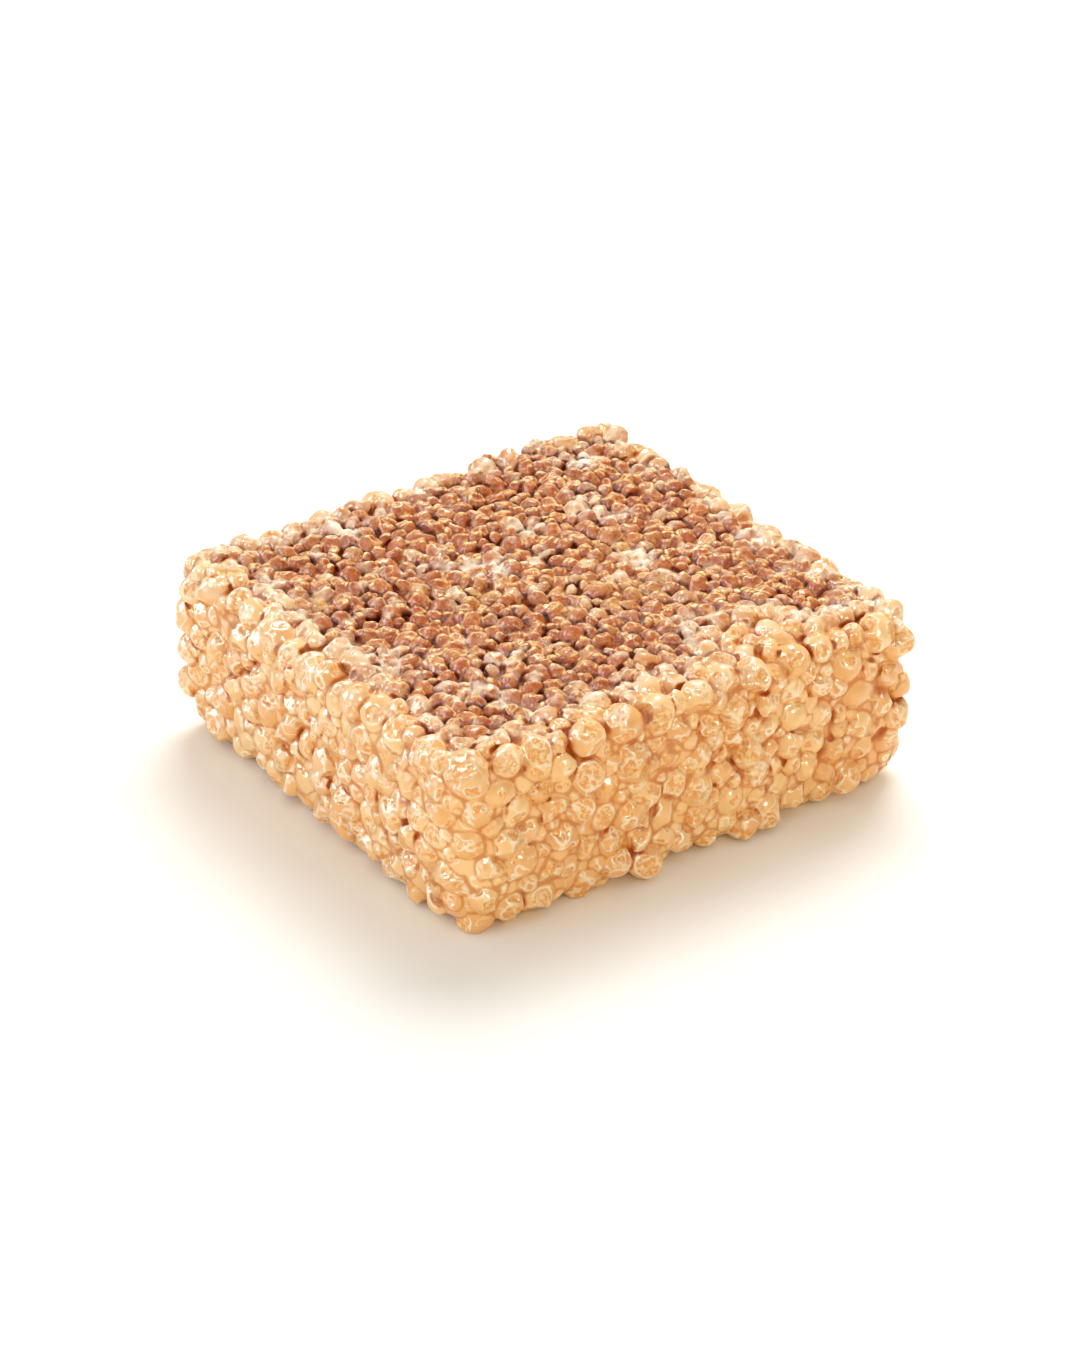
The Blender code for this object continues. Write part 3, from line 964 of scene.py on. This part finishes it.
def close_behind(faces):
    """A piece's own faces, two strips from each cut edge into the block, and triangles from there to the
    block's middle. Gives the points, the corners of all the faces in one row, where each face starts in
    that row, and the number of the crust's point whose marks each point takes."""
    used, renumbered = np.unique(faces, return_inverse=True)
    faces = renumbered.reshape(faces.shape)
    count = len(used)
    starts, ends = cut_edges(faces, count)
    rim = np.unique(starts)
    under = np.zeros(count, int)
    under[rim] = count + np.arange(len(rim))
    deeper = under + len(rim)
    tucked = points[used][rim] - TUCK * facing[used][rim]
    inner = MIDDLE + np.clip(points[used][rim] - MIDDLE, DEEP - HALF, HALF - DEEP)
    strips = [
        (ends, starts, under[starts], under[ends]),
        (under[ends], under[starts], deeper[starts], deeper[ends]),
    ]
    fours = np.concatenate([faces] + [np.stack(strip, axis=1) for strip in strips])
    fan = np.stack((deeper[ends], deeper[starts], np.full(len(starts), count + 2 * len(rim))), axis=1)
    loops = np.concatenate((fours.ravel(), fan.ravel()))
    loop_starts = np.concatenate((np.arange(len(fours)) * 4, fours.size + np.arange(len(fan)) * 3))
    places = np.concatenate((points[used], tucked, inner, MIDDLE[None]))
    return places, loops, loop_starts, np.concatenate((used, used[rim], used[rim]))


# %% Build one closed mesh for each side
def build_piece(name, faces):
    """A piece as a Blender object, with its marks and its facing. The last point is the block's middle,
    which has neither."""
    places, loops, loop_starts, shown = close_behind(faces)
    mesh = bpy.data.meshes.new(name)
    mesh.vertices.add(len(places))
    mesh.vertices.foreach_set("co", (places * MM).ravel())
    mesh.loops.add(len(loops))
    mesh.loops.foreach_set("vertex_index", loops)
    mesh.polygons.add(len(loop_starts))
    mesh.polygons.foreach_set("loop_start", loop_starts)
    mesh.update(calc_edges=True)
    mesh.validate()
    mesh.shade_smooth()
    for mark, values in point_marks.items():
        attribute = mesh.attributes.new(mark, "FLOAT", "POINT")
        attribute.data.foreach_set("value", np.append(values[shown], 0).astype(np.float32))
    mesh.normals_split_custom_set_from_vertices(np.append(shading[shown], ((0, 0, 1),), axis=0))
    piece = bpy.data.objects.new(name, mesh)
    bpy.context.scene.collection.objects.link(piece)
    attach(piece, "root")
    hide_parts(NODE)
    print(f"{name}: {len(loops) - 2 * len(loop_starts)} triangles")
    return piece


crust = {name: build_piece(name, quads[owner == number]) for number, name in enumerate(SIDES)}


# %% [markdown]
# ## Helpers for the finish
#
# The colours are painted by shader nodes. These short functions add the nodes for one step each, so that
# the finish below reads as a recipe.

# %% Add nodes and read marks
def add_node(tree, kind, inputs=None, **settings):
    """Adds a node, sets its options, and fills or links its inputs by name or number."""
    node = tree.nodes.new(kind)
    for key, value in settings.items():
        setattr(node, key, value)
    for key, value in (inputs or {}).items():
        if isinstance(value, bpy.types.NodeSocket):
            tree.links.new(value, node.inputs[key])
        else:
            node.inputs[key].default_value = value
    return node


def read_mark(tree, name):
    """The value of one of the crust's own marks."""
    return add_node(tree, "ShaderNodeAttribute", attribute_name=name).outputs["Fac"]


def spread(tree, value, start, end):
    """0 before the start, 1 after the end, and a smooth climb between."""
    inputs = {"Value": value, "From Min": start, "From Max": end}
    return add_node(tree, "ShaderNodeMapRange", inputs, interpolation_type="SMOOTHSTEP").outputs["Result"]


# %% Arithmetic on masks
def calculate(tree, operation, first, *others):
    """One kind of arithmetic, over all the values in turn."""
    if not others:
        return add_node(tree, "ShaderNodeMath", {0: first}, operation=operation).outputs[0]
    for other in others:
        first = add_node(tree, "ShaderNodeMath", {0: first, 1: other}, operation=operation).outputs[0]
    return first


def times(tree, *values):
    """The product of the values."""
    return calculate(tree, "MULTIPLY", *values)


def greatest(tree, *values):
    """The greatest of the values."""
    return calculate(tree, "MAXIMUM", *values)


def band(tree, value, start, full, fade, end):
    """1 while the value is between full and fade, 0 before the start and after the end."""
    return times(tree, spread(tree, value, start, full), spread(tree, value, end, fade))


# %% Colours and noise
def mix_colour(tree, amount, first, second):
    """The first colour where the amount is 0, the second where it is 1."""
    inputs = {0: amount, 6: first, 7: second}
    return add_node(tree, "ShaderNodeMix", inputs, data_type="RGBA").outputs[2]


def grain(tree, scale, detail=2.0, roughness=0.5):
    """Noise on the piece's own coordinates, at this many waves a metre."""
    coordinates = add_node(tree, "ShaderNodeTexCoord").outputs["Object"]
    inputs = {"Vector": coordinates, "Scale": scale, "Detail": detail, "Roughness": roughness}
    return add_node(tree, "ShaderNodeTexNoise", inputs).outputs["Fac"]


def srgb(red, green, blue):
    """A colour as seen on a screen, 0 to 255, as the linear values that shaders use."""
    linear = []
    for value in (red / 255, green / 255, blue / 255):
        linear.append(value / 12.92 if value <= 0.04045 else ((value + 0.055) / 1.055) ** 2.4)
    return (*linear, 1.0)


# %% Node groups
def start_group(name, inputs, outputs):
    """A shader node group: its tree, its inputs' sockets by name, and the node that takes its outputs."""
    group = bpy.data.node_groups.new(name, "ShaderNodeTree")
    for label, value in inputs.items():
        kind = "NodeSocketColor" if isinstance(value, tuple) else "NodeSocketFloat"
        group.interface.new_socket(label, in_out="INPUT", socket_type=kind).default_value = value
    for label, kind in outputs.items():
        group.interface.new_socket(label, in_out="OUTPUT", socket_type=kind)
    entry = group.nodes.new("NodeGroupInput").outputs
    return group, {label: entry[label] for label in inputs}, group.nodes.new("NodeGroupOutput")


def place_group(tree, group, inputs):
    """Puts a group into a material with its own values."""
    return add_node(tree, "ShaderNodeGroup", inputs, node_tree=group).outputs


# %% [markdown]
# ## The pale crisps
#
# The coat is a warm cream, a little different from crisp to crisp. The facets show the crisp's mottled
# orange inside. The hollows and creases are painted deeper in colour as shade, and a painted highlight
# runs beside each crease on the side that faces the back light. Thin pale lines finish it: broken rims
# round the facets and lines on the ridges, both partly the thin coat's own paleness and partly painted
# highlight, and fine veins across the facets.

# %% The pale syrup-coated crisp, as a group
def make_pale_crisp():
    """Coat, facet, painted crevice shade and rim colours, mixed by the marks, with painted highlights, and
    the height of the lines.
    """
    inputs = {
        "Rim Distance": 0.6, "Hollow": 0.0, "Crease": 0.0, "Ridge": 0.0, "Tone": 0.0, "Faces Back Light": 0.0,
        "Haze": 0.0,
        "Coat": srgb(236, 174, 102), "Crevice Shade": srgb(189, 94, 20),
        "Facet": srgb(234, 150, 50), "Facet Light": srgb(252, 214, 150), "Rim": srgb(255, 245, 222),
    }
    outputs = {"Colour": "NodeSocketColor", "Height": "NodeSocketFloat"}
    tree, ports, end = start_group("pale_crisp", inputs, outputs)
    rim_distance, hollow, crease = ports["Rim Distance"], ports["Hollow"], ports["Crease"]

    # The coat's own tone, and the mottled facets
    own = calculate(tree, "ADD", grain(tree, 110.0, 2.0), times(tree, ports["Tone"], 0.16))
    light = times(tree, spread(tree, own, 0.32, 0.70), 0.6)
    coat = mix_colour(tree, light, ports["Coat"], ports["Facet Light"])
    mottle = spread(tree, grain(tree, 1600.0, 4.0, 0.65), 0.42, 0.62)
    bare = mix_colour(tree, mottle, ports["Facet"], ports["Facet Light"])
    facet = spread(tree, rim_distance, 0.03, -0.15)
    colour = mix_colour(tree, times(tree, facet, 0.85), coat, bare)

    # Painted shade: deeper in colour in the hollows and creases
    colour = mix_colour(tree, spread(tree, hollow, 0.22, 0.78), colour, ports["Crevice Shade"])
    crease_shade = times(tree, spread(tree, crease, 0.28, 0.80), 0.62)
    colour = mix_colour(tree, crease_shade, colour, ports["Crevice Shade"])
    # Painted highlight: paler just beside a crease, on the side that faces the back light
    upper = spread(tree, ports["Faces Back Light"], -0.2, 0.5)
    beside = times(tree, band(tree, crease, 0.02, 0.15, 0.25, 0.55), spread(tree, hollow, 0.55, 0.30), upper)
    colour = mix_colour(tree, times(tree, beside, 0.6), colour, ports["Facet Light"])

    # Thin pale lines, away from the hollows and creases: broken rims round the facets and ridge lines, partly
    # the coat's own paleness and partly painted highlight, and veins
    out_of_hollows = times(tree, spread(tree, hollow, 0.5, 0.25), spread(tree, crease, 0.5, 0.1))
    broken = spread(tree, grain(tree, 300.0, 2.0), 0.42, 0.60)
    rim = times(tree, band(tree, rim_distance, -0.26, -0.02, 0.02, 0.24), out_of_hollows, broken)
    thin_coat_and_highlight = times(tree, spread(tree, ports["Ridge"], 0.05, 0.13), broken, 0.8)
    from_vein = calculate(tree, "ABSOLUTE", calculate(tree, "SUBTRACT", grain(tree, 400.0, 1.5), 0.5))
    veined = spread(tree, grain(tree, 170.0, 1.0), 0.44, 0.58)
    vein = times(tree, spread(tree, from_vein, 0.045, 0.005), veined, out_of_hollows, 0.75)
    line = greatest(tree, rim, thin_coat_and_highlight, vein)
    colour = mix_colour(tree, times(tree, line, 0.8), colour, ports["Rim"])
    colour = mix_colour(tree, times(tree, ports["Haze"], 0.5), colour, ports["Rim"])
    tree.links.new(colour, end.inputs["Colour"])

    rough = times(tree, mottle, facet, 2.2)
    ripple = times(tree, grain(tree, 620.0, 1.0), 2.0)
    tree.links.new(calculate(tree, "ADD", line, rough, ripple), end.inputs["Height"])
    return tree


pale_crisp = make_pale_crisp()
print(f"pale crisp: {len(pale_crisp.nodes)} nodes")

# %% [markdown]
# ## The cinnamon crumb
#
# Each crumb has a red-brown body with a little golden grit. On the side that faces the back light, its
# rims, crease edges, ridges and open top carry painted golden highlights, speckled on the top. Golden
# places lie where little cinnamon fell. The crevices are painted a dark red-brown as shade, and over it
# all lies the milky haze in its spots.


# %% The cinnamon crumb, as a group
def make_cinnamon():
    """Brown body, painted golden highlights on the side facing the back light, painted dark crevice shade and
    milky haze, mixed by the marks.
    """
    inputs = {
        "Rim Distance": 0.6, "Hollow": 0.0, "Crease": 0.0, "Ridge": 0.0, "Tone": 0.0, "Faces Back Light": 0.0,
        "Haze": 0.0, "Gold Share": 0.0,
        "Body": srgb(187, 92, 31), "Red Body": srgb(170, 75, 22), "Gold": srgb(255, 218, 139),
        "Crevice Shade": srgb(115, 41, 9), "Milk": srgb(255, 243, 220),
    }
    outputs = {"Colour": "NodeSocketColor", "Height": "NodeSocketFloat"}
    tree, ports, end = start_group("cinnamon", inputs, outputs)
    hollow, crease, upper = ports["Hollow"], ports["Crease"], ports["Faces Back Light"]

    # The body, with a little golden grit
    own = calculate(tree, "ADD", grain(tree, 420.0, 3.0), times(tree, ports["Tone"], 0.12))
    body = mix_colour(tree, spread(tree, own, 0.40, 0.62), ports["Body"], ports["Red Body"])
    grit = spread(tree, grain(tree, 1500.0, 3.0, 0.6), 0.42, 0.66)
    body = mix_colour(tree, times(tree, grit, 0.2), body, ports["Gold"])

    # Painted golden highlights on the rims, crease edges, ridges and speckled open tops that face the back
    # light, and the real golden places
    round_facet = band(tree, ports["Rim Distance"], -0.22, -0.03, 0.02, 0.18)
    rim = times(tree, round_facet, spread(tree, upper, 0.35, 0.85))
    beside = times(tree, band(tree, crease, 0.02, 0.15, 0.25, 0.55), spread(tree, upper, 0.30, 0.80), 0.8)
    ridge_highlight = times(tree, spread(tree, ports["Ridge"], 0.10, 0.17), spread(tree, upper, 0.05, 0.6), 0.9)
    speckle = grain(tree, 2600.0, 3.0, 0.6)
    open_lit_top = times(tree, spread(tree, hollow, 0.30, 0.05), spread(tree, upper, 0.50, 0.95))
    lit_top_speckle = times(tree, open_lit_top, spread(tree, speckle, 0.42, 0.60), 0.55)
    bare = times(tree, ports["Gold Share"], spread(tree, speckle, 0.25, 0.55), 0.55)
    golden = greatest(tree, lit_top_speckle, times(tree, rim, 0.8), beside, ridge_highlight, bare)
    colour = mix_colour(tree, golden, body, ports["Gold"])

    # Painted shade: dark crevices in the hollows and creases, then the haze over them
    colour = mix_colour(tree, spread(tree, hollow, 0.28, 0.75), colour, ports["Crevice Shade"])
    crease_shade = times(tree, spread(tree, crease, 0.3, 0.8), 0.8)
    colour = mix_colour(tree, crease_shade, colour, ports["Crevice Shade"])
    uneven = spread(tree, grain(tree, 700.0, 3.0), 0.36, 0.58)
    milk = times(tree, ports["Haze"], uneven, spread(tree, hollow, 0.9, 0.3), 0.93)
    colour = mix_colour(tree, milk, colour, ports["Milk"])
    tree.links.new(colour, end.inputs["Colour"])

    rough = calculate(tree, "ADD", times(tree, speckle, 3.0), times(tree, grit, 1.5))
    tree.links.new(calculate(tree, "ADD", rim, rough), end.inputs["Height"])
    return tree


cinnamon = make_cinnamon()
print(f"cinnamon: {len(cinnamon.nodes)} nodes")

# %% [markdown]
# ## One material for both
#
# The crumb mark chooses between the two groups at each place, so a pale crisp can be dusted brown on one
# side. A clear wet coat lies over all of it: thick on the pale crisps, thin on the crumb, and gone in
# the creases. Its gloss weakens where a crisp turns away from the eye, or each would get a hard mirror
# edge that the set syrup doesn't have. The underside has the duller colours of crisps pressed on a tray.


# %% The crust's material
def make_crust_material(name, pale_values, bump_strength):
    """Pale crisps with cinnamon where the crumb mark says so, under a clear coat."""
    material = bpy.data.materials.new(name)
    material.use_nodes = True
    tree = material.node_tree
    shader = tree.nodes["Principled BSDF"]
    marks = {
        "Rim Distance": "rim_distance", "Hollow": "hollow", "Crease": "crease", "Tone": "tone",
        "Ridge": "ridge", "Faces Back Light": "faces_back_light", "Haze": "haze",
    }
    shared = {label: read_mark(tree, mark) for label, mark in marks.items()}
    pale = place_group(tree, pale_crisp, {**shared, **pale_values})
    brown = place_group(tree, cinnamon, {**shared, "Gold Share": read_mark(tree, "gold")})
    crumb_here = read_mark(tree, "crumb")
    colour = mix_colour(tree, crumb_here, pale["Colour"], brown["Colour"])
    tree.links.new(colour, shader.inputs["Base Color"])

    heights = {0: crumb_here, 2: pale["Height"], 3: brown["Height"]}
    height = add_node(tree, "ShaderNodeMix", heights).outputs[0]
    bump_inputs = {"Strength": bump_strength, "Distance": 0.0001, "Height": height}
    bump = add_node(tree, "ShaderNodeBump", bump_inputs)
    tree.links.new(bump.outputs["Normal"], shader.inputs["Normal"])

    open_face = spread(tree, shared["Hollow"], 0.75, 0.35)
    whole = spread(tree, shared["Crease"], 0.8, 0.2)
    thickness = calculate(tree, "SUBTRACT", 0.95, times(tree, crumb_here, 0.6))
    aside = add_node(tree, "ShaderNodeLayerWeight", {"Blend": 0.5}).outputs["Facing"]
    fade = calculate(tree, "SUBTRACT", 1.0, times(tree, spread(tree, aside, 0.55, 0.90), 0.85))
    tree.links.new(times(tree, open_face, whole, thickness, fade), shader.inputs["Coat Weight"])
    values = {
        "Roughness": 0.40, "IOR": 1.45, "Specular IOR Level": 0.32, "Coat Roughness": 0.08, "Coat IOR": 1.5,
    }
    for label, value in values.items():
        shader.inputs[label].default_value = value
    return material


PRESSED = {"Coat": srgb(224, 168, 110), "Rim": srgb(240, 204, 156)}
crust_material = make_crust_material("syrup_crust", {}, 0.4)
tray_material = make_crust_material("pressed_crust", PRESSED, 0.3)
for name, piece in crust.items():
    piece.data.materials.append(tray_material if name == "underside" else crust_material)
print(f"{len(crust)} pieces painted")

# %% [markdown]
# ## Floor, light and camera
#
# The bar lies on a plain white table. Most of the light comes evenly from a white room. A broad panel
# behind brightens the top, and two weak fills, cool at the left and warm in front, give the two walls
# their tints. Four softboxes show in the gloss alone and put a sharp glint on every crisp.

# %% Floor
FLOOR_HALF = 2.0
TABLE_COLOUR = (0.965, 0.96, 0.935, 1.0)


def make_floor():
    """A large level square."""
    mesh = bpy.data.meshes.new("table")
    corners = [(x * FLOOR_HALF, y * FLOOR_HALF, 0) for x, y in ((-1, -1), (1, -1), (1, 1), (-1, 1))]
    mesh.from_pydata(corners, [], [(0, 1, 2, 3)])
    floor = bpy.data.objects.new("table", mesh)
    bpy.context.scene.collection.objects.link(floor)
    material = bpy.data.materials.new("white_table")
    material.use_nodes = True
    shader = material.node_tree.nodes["Principled BSDF"]
    shader.inputs["Base Color"].default_value = TABLE_COLOUR
    shader.inputs["Roughness"].default_value = 0.9
    shader.inputs["Specular IOR Level"].default_value = 0.1
    mesh.materials.append(material)


make_floor()
print(f"table {2 * FLOOR_HALF:.0f} m wide")

# %% A white room
ROOM_COLOUR = (1.0, 0.99, 0.97, 1.0)
ROOM_BRIGHTNESS = 0.56
scene = bpy.context.scene
scene.view_settings.view_transform = "Standard"
world = bpy.data.worlds.new("white_room")
world.use_nodes = True
background = world.node_tree.nodes["Background"]
background.inputs["Color"].default_value = ROOM_COLOUR
background.inputs["Strength"].default_value = ROOM_BRIGHTNESS
scene.world = world
print(f"room at {ROOM_BRIGHTNESS:.0%} of white")


# %% Softboxes
def add_softbox(name, azimuth, elevation, distance, size, brightness, colour=(1, 1, 1), shows="both"):
    """A square area light at a direction from the bar, turned to face it. Its brightness is what it
    alone would add to a white card that faces it, which takes a power of brightness x pi² x distance².
    It shows in the gloss alone, in the matt colour alone, or in both."""
    light = bpy.data.lights.new(name, "AREA")
    light.size, light.color = size, colour
    light.energy = brightness * (math.pi * distance) ** 2
    box = bpy.data.objects.new(name, light)
    box.visible_diffuse = shows != "gloss"
    box.visible_glossy = shows != "matt"
    turn, lift = math.radians(azimuth), math.radians(elevation)
    away = Vector((math.sin(turn) * math.cos(lift), -math.cos(turn) * math.cos(lift), math.sin(lift)))
    box.location = Vector((0, 0, HEIGHT * MM / 2)) + away * distance
    box.rotation_euler = away.to_track_quat("Z", "Y").to_euler()
    scene.collection.objects.link(box)


add_softbox("panel_behind", 133, 50, 0.9, 0.60, 0.95, shows="matt")
add_softbox("fill_left", -98, 12, 0.9, 0.45, 0.27, (0.88, 1.09, 1.36))
add_softbox("fill_front", -15, 24, 0.9, 0.60, 0.23, (1.0, 0.78, 0.27))
add_softbox("glint_behind", 146, 36, 0.8, 0.20, 0.40, shows="gloss")
add_softbox("glint_behind_left", -138, 24, 0.8, 0.42, 1.20, shows="gloss")
add_softbox("glint_left", -80, 52, 0.8, 0.31, 0.85, shows="gloss")
add_softbox("glint_front", 2, 38, 0.8, 0.22, 0.45, shows="gloss")
print(len(bpy.data.lights), "softboxes")

# %% Camera at the photograph's angle
AIM = Vector((-0.00159, -0.00210, 0.0129))
CAMERA_AZIMUTH, CAMERA_ELEVATION, CAMERA_DISTANCE = -35.11, 30.29, 0.50268
FRAME_HEIGHT, FOCAL_PIXELS, SENSOR = 1350, 3800, 36.0
camera = bpy.data.cameras.new("camera")
camera.sensor_width = SENSOR
camera.lens = FOCAL_PIXELS * SENSOR / FRAME_HEIGHT
viewer = bpy.data.objects.new("camera", camera)
turn, lift = math.radians(CAMERA_AZIMUTH), math.radians(CAMERA_ELEVATION)
towards = Vector((math.sin(turn) * math.cos(lift), -math.cos(turn) * math.cos(lift), math.sin(lift)))
viewer.location = AIM + towards * CAMERA_DISTANCE
viewer.rotation_euler = towards.to_track_quat("Z", "Y").to_euler()
scene.collection.objects.link(viewer)
scene.camera = viewer
print(f"camera {CAMERA_DISTANCE:.2f} m away")
